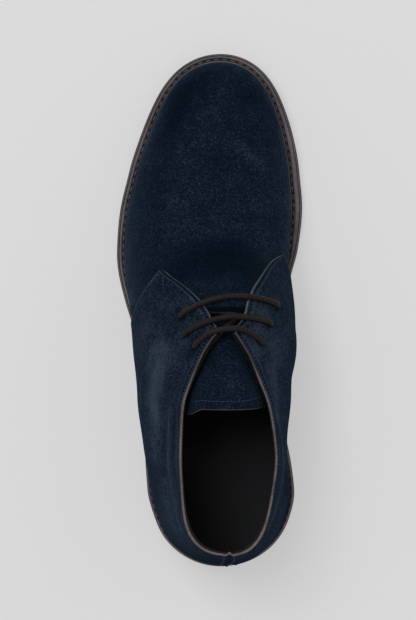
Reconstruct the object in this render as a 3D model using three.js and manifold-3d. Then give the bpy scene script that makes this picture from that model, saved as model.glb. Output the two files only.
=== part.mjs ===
// A left-foot suede chukka boot, standing empty on its sole: a welted rubber sole with a low heel, and an
// ankle-high suede upper laced over a tongue through three pairs of punched holes.
// Millimetres. +X is the outer (lateral) side, -Y the toe, +Z up. The origin is on the floor, under the
// middle of the sole's outline. Stations ("at") are measured forward from the sole's rear edge, "across"
// outward from the long axis of the sole.
import * as THREE from "three";
import { mergeVertices } from "three/addons/utils/BufferGeometryUtils.js";
import Module from "manifold-3d";

const wasm = await Module();
wasm.setup();

// ---- Driving dimensions ----
const LENGTH = 300; // outsole, heel to toe: a man's size 42 to 43
const HEEL_LIFT = 13; // the outsole's underside above the floor at the heel seat
const HEEL_BREAST = 72; // front face of the heel
const SEAT_END = 60; // the outsole leaves the level heel seat here
const TREAD_START = 178; // the forefoot stands on the floor from here
const TREAD_END = 222; // to here, and then rises to the toe
const TOE_SPRING = 7.5; // the underside above the floor at the toe
const OUTSOLE = 7.2; // thickness of the rubber
const WELT = 3.5; // thickness of the welt
const TOP_PIECE = 6; // thickness of the heel's rubber top piece
const WALL = 2.2; // suede with its lining
const TONGUE_WALL = 2.6;
const INSOLE_RISE = 1.5; // the footbed above the welt
const GAP = 0.3; // between touching pieces
const LACE = 3.4; // diameter of the round lace
const EYELET = 4.6; // diameter of the punched holes
const COLLAR_BACK = 11; // the collar's rearmost point
const COLLAR_FRONT = 141; // where the two sides of the collar would meet, ahead of the lacing corners
const VAMP_EDGE = 152.5; // rear edge of the vamp between the facings, where the throat opens
const CORNER_HALF = 5.3; // half the throat's width at the corners of the collar
const MOUTH_HALF = 12.6; // and at the vamp's edge

// The lengths over which the plan outlines close in a round end.
const HEEL_ROUND = 45;
const TOE_ROUND = 70;
const TOE_BOX_ROUND = 42;
const COLLAR_ROUND = 35;
const COLLAR_SQUARENESS = 0.8; // under 1, the collar's back is flatter than an ellipse

// Half widths of the sole on each side of the axis, before its ends are rounded.
const SOLE_PLAN = [
  { at: 0, lateral: 42.5, medial: 45 },
  { at: 15, lateral: 42.2, medial: 44 },
  { at: 30, lateral: 41.4, medial: 43.1 },
  { at: 45, lateral: 42.8, medial: 43.1 },
  { at: 62, lateral: 44, medial: 41 },
  { at: 85, lateral: 44.6, medial: 36.4 },
  { at: 110, lateral: 46, medial: 33.2 },
  { at: 135, lateral: 50.2, medial: 34 },
  { at: 155, lateral: 56.2, medial: 37.6 },
  { at: 172, lateral: 60.2, medial: 41.6 },
  { at: 185, lateral: 61.1, medial: 45 },
  { at: 209, lateral: 59.1, medial: 47.7 },
  { at: 233, lateral: 53.5, medial: 45.9 },
  { at: 251, lateral: 49.9, medial: 44.7 },
  { at: 269, lateral: 48.5, medial: 44.6 },
  { at: 285, lateral: 49.5, medial: 46.4 },
  { at: 300, lateral: 52, medial: 49.5 },
];

// How far the bottom edge of the upper lies inside the sole's edge.
const WELT_PLAN = [
  { at: 0, lateral: 3, medial: 3 },
  { at: 60, lateral: 3.8, medial: 3.4 },
  { at: 110, lateral: 4.6, medial: 3.4 },
  { at: 160, lateral: 5.2, medial: 5 },
  { at: 205, lateral: 5.4, medial: 6.6 },
  { at: 260, lateral: 5.4, medial: 6 },
  { at: 300, lateral: 5, medial: 5 },
];

// The upper's centre line over the toe and instep: height above the floor, and its shift across.
const RIDGE = [
  { at: 141, height: 117, across: -4.7 },
  { at: 150, height: 109.4, across: -4.4 },
  { at: 165, height: 96.6, across: -3.8 },
  { at: 180, height: 85, across: -3 },
  { at: 200, height: 72, across: -2 },
  { at: 220, height: 62, across: -1.2 },
  { at: 240, height: 54.6, across: -0.9 },
  { at: 260, height: 49.8, across: -0.5 },
  { at: 280, height: 47, across: -0.2 },
  { at: 300, height: 45, across: 0 },
];

// The collar's edge: half widths about its own centre line, that line's shift across, and its height.
const COLLAR = [
  { at: 11, lateral: 31, medial: 24.2, across: -6.9, height: 122 },
  { at: 38, lateral: 27, medial: 25, across: -6.1, height: 117.5 },
  { at: 63, lateral: 28, medial: 28.2, across: -6, height: 114.5 },
  { at: 80, lateral: 27.5, medial: 27.3, across: -5.8, height: 114 },
  { at: 97, lateral: 25.2, medial: 25.2, across: -4.8, height: 114.4 },
  { at: 107, lateral: 21.6, medial: 21.6, across: -4.5, height: 115.4 },
  { at: 118, lateral: 16.4, medial: 16.2, across: -4.6, height: 116.8 },
  { at: 128, lateral: 11.2, medial: 10.8, across: -4.7, height: 117.6 },
  { at: 136, lateral: 5.5, medial: 5.5, across: -4.7, height: 117.6 },
  { at: 141, lateral: 0, medial: 0, across: -4.7, height: 117 },
];

// How the walls rise: how far one of LEAN_HEIGHT leans out over its bottom edge, and how steeply it ends.
const LEAN_HEIGHT = 80;
const WALL_FORM = [
  { at: 0, lateral: 1.5, medial: 1.5, steep: 80 },
  { at: 45, lateral: 4.2, medial: 2.5, steep: 82 },
  { at: 70, lateral: 11.5, medial: 4, steep: 78 },
  { at: 95, lateral: 16, medial: 12.5, steep: 66 },
  { at: 120, lateral: 14, medial: 19.5, steep: 48 },
  { at: 141, lateral: 11, medial: 22, steep: 22 },
  { at: 158, lateral: 8, medial: 20, steep: 0 },
  { at: 180, lateral: 5, medial: 9, steep: 0 },
  { at: 210, lateral: 6, medial: 5, steep: 0 },
  { at: 300, lateral: 5, medial: 5, steep: 0 },
];

// The tongue from under the vamp to its top edge: height of its middle, half width, and droop of its edges.
const TONGUE = [
  { at: 94, height: 128, half: 25, droop: 24 },
  { at: 108, height: 123.4, half: 24.6, droop: 26.5 },
  { at: 120, height: 116.4, half: 24.2, droop: 27 },
  { at: 136, height: 107.2, half: 24, droop: 22 },
  { at: 150, height: 99.6, half: 23, droop: 17.5 },
  { at: 162, height: 92.8, half: 22, droop: 10 },
  { at: 174, height: 85, half: 18, droop: 7 },
];

// Centres of the lacing holes: three on the lateral facing and three on the medial one, lowest first.
const EYELETS = {
  lateralLow: { at: 146.5, across: 19.7 },
  lateralMiddle: { at: 136, across: 17 },
  lateralTop: { at: 129.3, across: 11.2 },
  medialLow: { at: 152, across: -31.8 },
  medialMiddle: { at: 141.6, across: -27.9 },
  medialTop: { at: 131.5, across: -23.2 },
};

// Where the lace's two ends stop under the facings.
const LACE_ENDS = { lateral: { at: 126, across: 20.5 }, medial: { at: 123, across: -27 } };
const BAR_BOW = { low: 6.2, middle: 5.2, top: 7.5 }; // how far each bar of the lace bows toward the toe
const BAR_LIFT = 1.2; // and how far its middle stands off the facings
const CROSSING_BOW = { low: 7.5, top: 5 }; // the same for a crossing that ends at the low or the top pair
const LACE_CLEARANCE = 0.8; // between the lace and the faces of the upper

// ---- Small mathematics ----
const mix = (a, b, share) => a + (b - a) * share;
const limit = (value, low, high) => Math.min(high, Math.max(low, value));

function smooth(low, high, value) {
  const share = limit((value - low) / (high - low), 0, 1);
  return share * share * (3 - 2 * share);
}

// A smooth curve through one column of a table.
function along(rows, column, at) {
  const last = rows.length - 2;
  let i = 0;
  while (i < last && rows[i + 1].at < at) i += 1;
  const slope = (j) => {
    const before = rows[Math.max(j - 1, 0)];
    const after = rows[Math.min(j + 1, rows.length - 1)];
    return (after[column] - before[column]) / (after.at - before.at);
  };
  const from = rows[i];
  const to = rows[i + 1];
  const step = to.at - from.at;
  const u = limit((at - from.at) / step, 0, 1);
  return (
    from[column] * (1 + 2 * u) * (1 - u) ** 2 +
    to[column] * u * u * (3 - 2 * u) +
    slope(i) * step * u * (1 - u) ** 2 -
    slope(i + 1) * step * u * u * (1 - u)
  );
}

// 0 at a round end of an outline, rising as a quarter ellipse to 1 at "reach" from it.
function roundEnd(distance, reach) {
  const left = 1 - limit(distance / reach, 0, 1);
  return Math.sqrt(1 - left * left);
}

// A share of 0 is the heel's end and 1 the toe's, closer together at both ends.
const stationOf = (share) => (LENGTH * (1 - Math.cos(Math.PI * share))) / 2;
const shareOf = (at) => Math.acos(1 - (2 * at) / LENGTH) / Math.PI;

// ---- The last ----
const columnOf = (side) => (side > 0 ? "lateral" : "medial");

function soleEdge(side, share) {
  const at = stationOf(share);
  const ends = roundEnd(at, HEEL_ROUND) * roundEnd(LENGTH - at, TOE_ROUND);
  return { at, across: side * along(SOLE_PLAN, columnOf(side), at) * ends };
}

// The direction out of the sole's outline, in plan.
function outward(side, share) {
  if (share <= 0) return { at: -1, across: 0 };
  if (share >= 1) return { at: 1, across: 0 };
  const step = 1e-4;
  const before = soleEdge(side, Math.max(share - step, 0));
  const after = soleEdge(side, Math.min(share + step, 1));
  const run = after.at - before.at;
  const rise = after.across - before.across;
  const size = Math.hypot(run, rise);
  return { at: (-side * rise) / size, across: (side * run) / size };
}

function outline(side, share, inset) {
  const edge = soleEdge(side, share);
  const out = outward(side, share);
  return { at: edge.at - out.at * inset, across: edge.across - out.across * inset };
}

// The outsole's underside: level at the heel seat and under the ball, raised between them and at the toe.
function underside(at) {
  const toe = limit((at - TREAD_END) / (LENGTH - TREAD_END), 0, 1);
  return HEEL_LIFT * (1 - smooth(SEAT_END, TREAD_START, at)) + TOE_SPRING * toe * toe;
}

const weltTop = (at) => underside(at) + OUTSOLE + GAP + WELT;

// The plan is centred on the sole's outline.
const widest = (side) =>
  Math.max(...Array.from({ length: 400 }, (_, i) => side * soleEdge(side, i / 399).across));
const AXIS_X = (widest(-1) - widest(1)) / 2;
const place = (at, across, z) => new THREE.Vector3(across + AXIS_X, LENGTH / 2 - at, z);

// Toward the lacing corners the wall lies flat, so its inner face ends lower than its outer one.
const FACING_BACK = 100;
const FACING_DROP = 1.2; // in wall thicknesses

// The top of a wall: on the centre line over the toe and instep, and on the collar's edge behind them.
function wallTop(side, share, inset) {
  const station = stationOf(share);
  if (station >= COLLAR_FRONT) {
    const tip = outline(side, 1, weltInset(side, 1) + inset).at;
    const at = mix(COLLAR_FRONT, tip, (station - COLLAR_FRONT) / (LENGTH - COLLAR_FRONT));
    const base = weltTop(at) + GAP;
    const slope = (along(RIDGE, "height", at + 1) - along(RIDGE, "height", at - 1)) / 2;
    const rise = along(RIDGE, "height", at) - inset * Math.hypot(1, slope) - base;
    const closing = roundEnd(tip - at, TOE_BOX_ROUND);
    return { at, across: along(RIDGE, "across", at) * closing, z: base + rise * closing };
  }
  const back = COLLAR_BACK + inset;
  const at = mix(back, COLLAR_FRONT, station / COLLAR_FRONT);
  const half = along(COLLAR, columnOf(side), at) * roundEnd(at - back, COLLAR_ROUND) ** COLLAR_SQUARENESS;
  const lowered = inset * FACING_DROP * smooth(FACING_BACK, COLLAR_FRONT, at);
  return {
    at,
    across: along(COLLAR, "across", at) + side * (half - Math.min(inset, half / 2)),
    z: along(COLLAR, "height", at) - lowered,
  };
}

const weltInset = (side, share) => along(WELT_PLAN, columnOf(side), stationOf(share));

// Ahead of this stretch the walls close straight across the foot; behind it, square to the outline.
const CROSSWISE = { from: 95, to: 156 };

// The four control points of the curve that climbs a wall from the welt to its top. A flat top is pulled
// sideways by a share of the wall's width, and a steep one downward by a share of its height.
function rib(side, share, inset) {
  const plan = outline(side, share, weltInset(side, share) + inset);
  const foot = { at: plan.at, across: plan.across, z: weltTop(plan.at) + GAP };
  const top = wallTop(side, share, inset);
  const out = outward(side, share);
  const height = top.z - foot.z;
  const lean = (along(WALL_FORM, columnOf(side), stationOf(share)) * height) / LEAN_HEIGHT;
  const steep = (along(WALL_FORM, "steep", stationOf(share)) * Math.PI) / 180;
  const width = Math.hypot(foot.across - top.across, 0.3 * (foot.at - top.at)) + lean / 2;
  const [widthShare, heightShare] = [0.6, 0.42];
  const reach = mix(widthShare * width, heightShare * height, Math.sin(steep));
  const over = Math.cos(steep) * reach;
  const crosswise = smooth(CROSSWISE.from, CROSSWISE.to, stationOf(share));
  return [
    foot,
    { at: foot.at + out.at * lean, across: foot.across + out.across * lean, z: foot.z + 0.5 * height },
    {
      at: top.at + out.at * (1 - crosswise) * over,
      across: top.across + mix(out.across, side, crosswise) * over,
      z: top.z - Math.sin(steep) * reach,
    },
    top,
  ];
}

function climb([a, b, c, d], share) {
  const left = 1 - share;
  const [near, far] = [3 * share * left ** 2, 3 * share ** 2 * left];
  const value = (key) => a[key] * left ** 3 + b[key] * near + c[key] * far + d[key] * share ** 3;
  return { at: value("at"), across: value("across"), z: value("z") };
}

// Where on the upper's outer face a place in plan lies: which rib, and how far up it.
function onUpper(side, at, across) {
  let share = shareOf(at);
  let row = 0.8;
  const step = 1e-3;
  for (let i = 0; i < 30; i += 1) {
    const here = climb(rib(side, share, 0), row);
    const ahead = climb(rib(side, share + step, 0), row);
    const above = climb(rib(side, share, 0), row + step);
    const matrix = [
      (ahead.at - here.at) / step,
      (above.at - here.at) / step,
      (ahead.across - here.across) / step,
      (above.across - here.across) / step,
    ];
    const size = matrix[0] * matrix[3] - matrix[1] * matrix[2];
    const [run, rise] = [at - here.at, across - here.across];
    share += limit((run * matrix[3] - rise * matrix[1]) / size, -0.05, 0.05);
    row = limit(row + limit((rise * matrix[0] - run * matrix[2]) / size, -0.1, 0.1), 0, 1);
  }
  return { share, row };
}

// ---- Building closed skins ----
class Skin {
  constructor() {
    this.corners = [];
  }

  triangle(a, b, c) {
    this.corners.push(a, b, c);
  }

  quad(a, b, c, d) {
    this.triangle(a, b, c);
    this.triangle(a, c, d);
  }

  geometry() {
    const flat = new THREE.BufferGeometry().setFromPoints(this.corners);
    const merged = mergeVertices(flat, 1e-3);
    const index = Array.from(merged.index.array);
    const kept = [];
    for (let i = 0; i < index.length; i += 3) {
      const [a, b, c] = index.slice(i, i + 3);
      if (a !== b && b !== c && c !== a) kept.push(a, b, c);
    }
    merged.setIndex(kept);
    return merged;
  }
}

function toSolid(geometry) {
  const bare = new THREE.BufferGeometry().setAttribute("position", geometry.getAttribute("position"));
  if (geometry.index) bare.setIndex(geometry.index);
  const merged = mergeVertices(bare, 1e-4);
  return new wasm.Manifold(
    new wasm.Mesh({
      numProp: 3,
      vertProperties: new Float32Array(merged.attributes.position.array),
      triVerts: new Uint32Array(merged.index.array),
    }),
  );
}

function toGeometry(solid) {
  const mesh = solid.getMesh();
  const position = new THREE.BufferAttribute(new Float32Array(mesh.vertProperties), 3);
  return new THREE.BufferGeometry()
    .setAttribute("position", position)
    .setIndex(new THREE.BufferAttribute(new Uint32Array(mesh.triVerts), 1));
}

const steps = (count, from = 0, to = 1) =>
  Array.from({ length: count + 1 }, (_, i) => mix(from, to, i / count));

// A slab that follows the sole's outline: "levels" are its rings from the bottom up.
function slab(shares, levels) {
  const skin = new Skin();
  const corner = (side, share, level) => {
    const plan = outline(side, share, level.inset(side, share));
    return place(plan.at, plan.across, level.height(plan.at));
  };
  const bottom = levels[0];
  const top = levels[levels.length - 1];
  for (let i = 0; i + 1 < shares.length; i += 1) {
    const [here, next] = [shares[i], shares[i + 1]];
    skin.quad(corner(1, here, top), corner(-1, here, top), corner(-1, next, top), corner(1, next, top));
    skin.quad(
      corner(1, here, bottom),
      corner(1, next, bottom),
      corner(-1, next, bottom),
      corner(-1, here, bottom),
    );
    for (let k = 0; k + 1 < levels.length; k += 1) {
      const [low, high] = [levels[k], levels[k + 1]];
      skin.quad(corner(1, here, low), corner(1, here, high), corner(1, next, high), corner(1, next, low));
      skin.quad(corner(-1, here, low), corner(-1, next, low), corner(-1, next, high), corner(-1, here, high));
    }
  }
  const end = shares[shares.length - 1];
  if (end < 1) {
    for (let k = 0; k + 1 < levels.length; k += 1) {
      const [low, high] = [levels[k], levels[k + 1]];
      skin.quad(corner(1, end, low), corner(1, end, high), corner(-1, end, high), corner(-1, end, low));
    }
  }
  return skin.geometry();
}

const level = (inset, height) => ({
  inset: typeof inset === "function" ? inset : () => inset,
  height: typeof height === "function" ? height : () => height,
});

// ---- Sub-parts ----
function outsole() {
  return slab(steps(44), [
    level(1.2, (at) => underside(at)),
    level(0.2, (at) => underside(at) + 1),
    level(0, (at) => underside(at) + OUTSOLE / 2),
    level(0.2, (at) => underside(at) + OUTSOLE - 0.8),
    level(0.9, (at) => underside(at) + OUTSOLE),
  ]);
}

function heelBlock() {
  return slab(steps(16, 0, shareOf(HEEL_BREAST)), [
    level(2, TOP_PIECE + GAP),
    level(1.2, (at) => underside(at) - GAP),
  ]);
}

function heelTopPiece() {
  return slab(steps(16, 0, shareOf(HEEL_BREAST)), [level(2.8, 0), level(2.1, 0.8), level(2, TOP_PIECE)]);
}

function insole() {
  const inset = (side, share) => weltInset(side, share) + WALL + 2 * GAP;
  const base = (at) => underside(at) + OUTSOLE + GAP;
  return slab(steps(40), [level(inset, base), level(inset, (at) => weltTop(at) + INSOLE_RISE)]);
}

// A closed strip under the edge of the upper, with a rounded outer edge.
function welt() {
  const skin = new Skin();
  const inner = (side, share) => weltInset(side, share) + WALL + GAP;
  const section = [
    { inset: inner, height: 0 },
    { inset: () => 1.1, height: 0 },
    { inset: () => 0.7, height: 0.9 },
    { inset: () => 0.8, height: WELT - 0.9 },
    { inset: () => 1.6, height: WELT },
    { inset: inner, height: WELT },
  ];
  const corner = (side, share, { inset, height }) => {
    const plan = outline(side, share, inset(side, share));
    return place(plan.at, plan.across, underside(plan.at) + OUTSOLE + GAP + height);
  };
  const shares = steps(44);
  for (let i = 0; i + 1 < shares.length; i += 1) {
    const [here, next] = [shares[i], shares[i + 1]];
    section.forEach((low, k) => {
      const high = section[(k + 1) % section.length];
      skin.quad(corner(1, here, low), corner(1, here, high), corner(1, next, high), corner(1, next, low));
      skin.quad(corner(-1, here, low), corner(-1, next, low), corner(-1, next, high), corner(-1, here, high));
    });
  }
  return skin.geometry();
}

// The hollow upper, before its throat and lacing holes are cut.
function upperShell() {
  const skin = new Skin();
  const split = shareOf(COLLAR_FRONT);
  const shares = [...steps(24, 0, split), ...steps(22, split, 1).slice(1)];
  const rows = steps(13);
  const grid = (side, inset) =>
    shares.map((share) => {
      const curve = rib(side, share, inset);
      return rows.map((row) => {
        const { at, across, z } = climb(curve, row);
        return place(at, across, z);
      });
    });
  for (const side of [1, -1]) {
    const outer = grid(side, 0);
    const inner = grid(side, WALL);
    const face = (a, b, c, d) => (side > 0 ? skin.quad(a, b, c, d) : skin.quad(a, d, c, b));
    const top = rows.length - 1;
    for (let i = 0; i + 1 < shares.length; i += 1) {
      for (let j = 0; j < top; j += 1) {
        face(outer[i][j], outer[i][j + 1], outer[i + 1][j + 1], outer[i + 1][j]);
        face(inner[i][j], inner[i + 1][j], inner[i + 1][j + 1], inner[i][j + 1]);
      }
      face(outer[i][0], outer[i + 1][0], inner[i + 1][0], inner[i][0]);
      if (shares[i + 1] <= split + 1e-9) {
        face(outer[i][top], inner[i][top], inner[i + 1][top], outer[i + 1][top]);
      }
    }
  }
  return skin.geometry();
}

// An upright cutter with a plan outline given as stations and distances across.
function cutter(corners, from, height) {
  const plan = corners.map(({ at, across }) => new THREE.Vector2(across + AXIS_X, LENGTH / 2 - at));
  const shape = new THREE.Shape(plan);
  const block = new THREE.ExtrudeGeometry(shape, { depth: height, bevelEnabled: false });
  block.translate(0, 0, from);
  return toSolid(block);
}

// The open V between the facings, widening from the corners of the collar to the vamp's edge.
function throat() {
  const middle = along(RIDGE, "across", COLLAR_FRONT);
  const rear = COLLAR_FRONT - 25; // well inside the collar's opening
  const corner = COLLAR_FRONT - 4;
  const [from, height] = [80, 60]; // through the wall, and clear of everything below it
  const half = [
    { at: rear, across: CORNER_HALF },
    { at: corner, across: CORNER_HALF },
    { at: VAMP_EDGE - 1.5, across: MOUTH_HALF - 0.6 },
    { at: VAMP_EDGE, across: MOUTH_HALF - 3 },
  ];
  const medial = half.map(({ at, across }) => ({ at, across: middle - across }));
  const lateral = half.map(({ at, across }) => ({ at, across: middle + across })).reverse();
  return cutter([...medial, ...lateral], from, height);
}

// A place on the upper given in plan: its point on the outer face, the way out, and the wall's depth there.
function faceAt({ at, across }) {
  const side = across > along(RIDGE, "across", at) ? 1 : -1;
  const { share, row } = onUpper(side, at, across);
  const point = (ahead, above, inset) => {
    const found = climb(rib(side, share + ahead, inset), row + above);
    return place(found.at, found.across, found.z);
  };
  const step = 1e-3;
  const outer = point(0, 0, 0);
  const normal = point(step, 0, 0).sub(outer).cross(point(0, -step, 0).sub(outer)).normalize();
  if (normal.z < 0) normal.negate();
  return { outer, normal, depth: outer.clone().sub(point(0, 0, WALL)).dot(normal) };
}

function punch(eyelet) {
  const { outer, normal } = faceAt(eyelet);
  const [length, sides] = [14, 12];
  const pin = new THREE.CylinderGeometry(EYELET / 2, EYELET / 2, length, sides);
  const turn = new THREE.Quaternion().setFromUnitVectors(new THREE.Vector3(0, 1, 0), normal);
  pin.applyQuaternion(turn).translate(...outer.toArray());
  return toSolid(pin);
}

function upper() {
  const cuts = [throat(), ...Object.values(EYELETS).map(punch)];
  return toGeometry(cuts.reduce((body, cut) => body.subtract(cut), toSolid(upperShell())));
}

// The tongue: a curved strip that starts under the vamp and stands above the collar. Its edges draw in a
// little as they droop, and the corners of its top edge are set forward.
function tongue() {
  const skin = new Skin();
  const drawIn = 0.1;
  const cornerSet = 4;
  const rows = steps(12, TONGUE[0].at, TONGUE[TONGUE.length - 1].at);
  const turns = steps(10, -1, 1);
  const face = (drop) =>
    rows.map((at) =>
      turns.map((turn) => {
        const half = along(TONGUE, "half", at);
        const round = 1 - drawIn * turn ** 4;
        const z = along(TONGUE, "height", at) - along(TONGUE, "droop", at) * turn * turn - drop;
        const set = at === TONGUE[0].at ? cornerSet * turn ** 4 : 0;
        return place(at + set, along(RIDGE, "across", at) + half * turn * round, z);
      }),
    );
  const top = face(0);
  const under = face(TONGUE_WALL);
  for (let i = 0; i + 1 < rows.length; i += 1) {
    for (let j = 0; j + 1 < turns.length; j += 1) {
      skin.quad(top[i][j], top[i + 1][j], top[i + 1][j + 1], top[i][j + 1]);
      skin.quad(under[i][j], under[i][j + 1], under[i + 1][j + 1], under[i + 1][j]);
    }
    const end = turns.length - 1;
    skin.quad(top[i][0], under[i][0], under[i + 1][0], top[i + 1][0]);
    skin.quad(top[i][end], top[i + 1][end], under[i + 1][end], under[i][end]);
  }
  const last = rows.length - 1;
  for (let j = 0; j + 1 < turns.length; j += 1) {
    skin.quad(top[0][j], top[0][j + 1], under[0][j + 1], under[0][j]);
    skin.quad(top[last][j], under[last][j], under[last][j + 1], top[last][j + 1]);
  }
  return skin.geometry();
}

// The lace runs in one piece: up and over between the two holes of a pair, and under to the next pair.
function lace() {
  const reach = LACE / 2 + LACE_CLEARANCE;
  const above = ({ lift = 0, ...plan }) => {
    const { outer, normal } = faceAt(plan);
    return outer.addScaledVector(normal, reach + lift);
  };
  const below = (plan) => {
    const { outer, normal, depth } = faceAt(plan);
    return outer.addScaledVector(normal, -depth - reach);
  };
  const inHole = (eyelet) => {
    const { outer, normal, depth } = faceAt(eyelet);
    return outer.addScaledVector(normal, -depth / 2);
  };
  const between = (from, to, shares, bow) =>
    shares.map((share) => ({
      at: mix(from.at, to.at, share) + bow * Math.sin(Math.PI * share) ** 0.7,
      across: mix(from.across, to.across, share),
      lift: BAR_LIFT * Math.sin(Math.PI * share),
    }));
  const run = (from, to, shares, bow, over) => [
    inHole(from),
    ...[from, ...between(from, to, shares, bow), to].map(over),
    inHole(to),
  ];
  const bar = (from, to, bow) => run(from, to, [0.13, 0.3, 0.5, 0.7, 0.87], bow, above);
  const crossing = (from, to, bow) => run(from, to, [0.16, 0.38, 0.62, 0.84], bow, below);
  const end = (eyelet, stop) => [inHole(eyelet), below(eyelet), below(stop)];
  const tube = (points) => {
    const overlap = 0.3;
    const [first, second] = points;
    points[0] = first.clone().add(first.clone().sub(second).setLength(overlap));
    const path = new THREE.CatmullRomCurve3(points, false, "centripetal");
    const section = new THREE.Shape().absarc(0, 0, LACE / 2, 0, 2 * Math.PI);
    const lengths = 3 * points.length - 4;
    const options = { steps: lengths, curveSegments: 4, extrudePath: path, bevelEnabled: false };
    return toSolid(new THREE.ExtrudeGeometry(section, options));
  };
  const e = EYELETS;
  const runs = [
    end(e.lateralMiddle, LACE_ENDS.lateral),
    bar(e.lateralMiddle, e.medialMiddle, BAR_BOW.middle),
    crossing(e.medialMiddle, e.lateralLow, CROSSING_BOW.low),
    bar(e.lateralLow, e.medialLow, BAR_BOW.low),
    crossing(e.medialLow, e.lateralTop, CROSSING_BOW.top),
    bar(e.lateralTop, e.medialTop, BAR_BOW.top),
    end(e.medialTop, LACE_ENDS.medial),
  ];
  return toGeometry(runs.map(tube).reduce((whole, piece) => whole.add(piece)));
}

const part = new THREE.Group();
function add(name, geometry, color, roughness) {
  geometry.computeVertexNormals();
  const mesh = new THREE.Mesh(geometry, new THREE.MeshStandardMaterial({ color, roughness, metalness: 0 }));
  mesh.name = name;
  part.add(mesh);
}
add("outsole", outsole(), "#211c1c", 0.6);
add("heel_block", heelBlock(), "#241d1a", 0.55);
add("heel_top_piece", heelTopPiece(), "#1d1919", 0.65);
add("welt", welt(), "#3f3937", 0.6);
add("insole", insole(), "#111214", 0.5);
add("upper", upper(), "#18212c", 0.95);
add("tongue", tongue(), "#161f29", 0.96);
add("lace", lace(), "#2b2222", 0.7);

export default part;
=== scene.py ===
"""The looks of a left-foot navy suede chukka boot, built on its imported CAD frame.

Sizes are in millimetres until a mesh is made. "at" is a station measured forward from the sole's rear edge
and "across" a distance outward from the sole's long axis, as in the boot's own construction. Side 1 is the
outer side and side -1 the inner one. A place on the upper is a "share" along the sole's edge (0 at the heel,
1 at the toe) and a "row" up the wall (0 at the welt, 1 at the top).
"""

import math

import bpy
import numpy as np
from mathutils import Matrix, Vector


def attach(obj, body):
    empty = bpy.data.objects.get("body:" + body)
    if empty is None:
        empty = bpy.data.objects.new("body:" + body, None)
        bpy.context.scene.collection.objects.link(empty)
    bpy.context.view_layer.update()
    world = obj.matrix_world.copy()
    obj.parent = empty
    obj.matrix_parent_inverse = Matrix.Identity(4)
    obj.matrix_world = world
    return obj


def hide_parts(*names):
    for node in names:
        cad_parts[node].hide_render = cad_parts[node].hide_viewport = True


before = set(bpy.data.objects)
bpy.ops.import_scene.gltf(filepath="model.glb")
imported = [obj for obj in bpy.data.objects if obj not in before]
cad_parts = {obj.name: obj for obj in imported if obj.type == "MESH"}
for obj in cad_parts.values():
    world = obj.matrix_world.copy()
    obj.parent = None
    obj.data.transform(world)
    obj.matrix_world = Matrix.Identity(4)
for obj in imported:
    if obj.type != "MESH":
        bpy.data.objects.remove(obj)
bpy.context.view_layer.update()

MM = 0.001
LENGTH = 300.0
HEEL_LIFT = 13.0
HEEL_BREAST = 72.0
SEAT_END = 60.0
TREAD_START = 178.0
TREAD_END = 222.0
TOE_SPRING = 7.5
OUTSOLE = 7.2
WELT = 3.5
TOP_PIECE = 6.0
WALL = 2.2
TONGUE_WALL = 2.6
INSOLE_RISE = 1.5
GAP = 0.3
LACE = 3.4
COLLAR_BACK = 11
COLLAR_FRONT = 141
VAMP_EDGE = 152.5
HEEL_ROUND = 45
TOE_ROUND = 70
TOE_BOX_ROUND = 42
COLLAR_ROUND = 35
COLLAR_SQUARENESS = 0.8
FACING_BACK = 100  # from here forward the wall's inner face drops lower, by FACING_DROP wall thicknesses
FACING_DROP = 1.2
LEAN_HEIGHT = 80  # a wall this high leans out over its bottom edge as WALL_FORM says
CROSSWISE = (95, 156)  # between these stations the wall's top turns from facing outward to facing sideways
FORWARD_SHARE = 0.3  # how much a wall's run along the boot counts in its width
WIDTH_SHARE = 0.6  # how far a flat top reaches out, in widths, and a steep one down, in heights
HEIGHT_SHARE = 0.42
EDGE_TO_STITCH = 2.2  # from a panel's cut edge to its row of stitches
OVERLAY = 1.3  # the quarters' thickness where they lie over the vamp


def table(names, *rows):
    return dict(zip(names.split(), np.array(rows, float).T))


SOLE_PLAN = table(
    "at lateral medial",
    (0, 42.5, 45),
    (15, 42.2, 44),
    (30, 41.4, 43.1),
    (45, 42.8, 43.1),
    (62, 44, 41),
    (85, 44.6, 36.4),
    (110, 46, 33.2),
    (135, 50.2, 34),
    (155, 56.2, 37.6),
    (172, 60.2, 41.6),
    (185, 61.1, 45),
    (209, 59.1, 47.7),
    (233, 53.5, 45.9),
    (251, 49.9, 44.7),
    (269, 48.5, 44.6),
    (285, 49.5, 46.4),
    (300, 52, 49.5),
)
WELT_PLAN = table(
    "at lateral medial",
    (0, 3, 3),
    (60, 3.8, 3.4),
    (110, 4.6, 3.4),
    (160, 5.2, 5),
    (205, 5.4, 6.6),
    (260, 5.4, 6),
    (300, 5, 5),
)
RIDGE = table(
    "at height across",
    (141, 117, -4.7),
    (150, 109.4, -4.4),
    (165, 96.6, -3.8),
    (180, 85, -3),
    (200, 72, -2),
    (220, 62, -1.2),
    (240, 54.6, -0.9),
    (260, 49.8, -0.5),
    (280, 47, -0.2),
    (300, 45, 0),
)
COLLAR = table(
    "at lateral medial across height",
    (11, 31, 24.2, -6.9, 122),
    (38, 27, 25, -6.1, 117.5),
    (63, 28, 28.2, -6, 114.5),
    (80, 27.5, 27.3, -5.8, 114),
    (97, 25.2, 25.2, -4.8, 114.4),
    (107, 21.6, 21.6, -4.5, 115.4),
    (118, 16.4, 16.2, -4.6, 116.8),
    (128, 11.2, 10.8, -4.7, 117.6),
    (136, 5.5, 5.5, -4.7, 117.6),
    (141, 0, 0, -4.7, 117),
)
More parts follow.
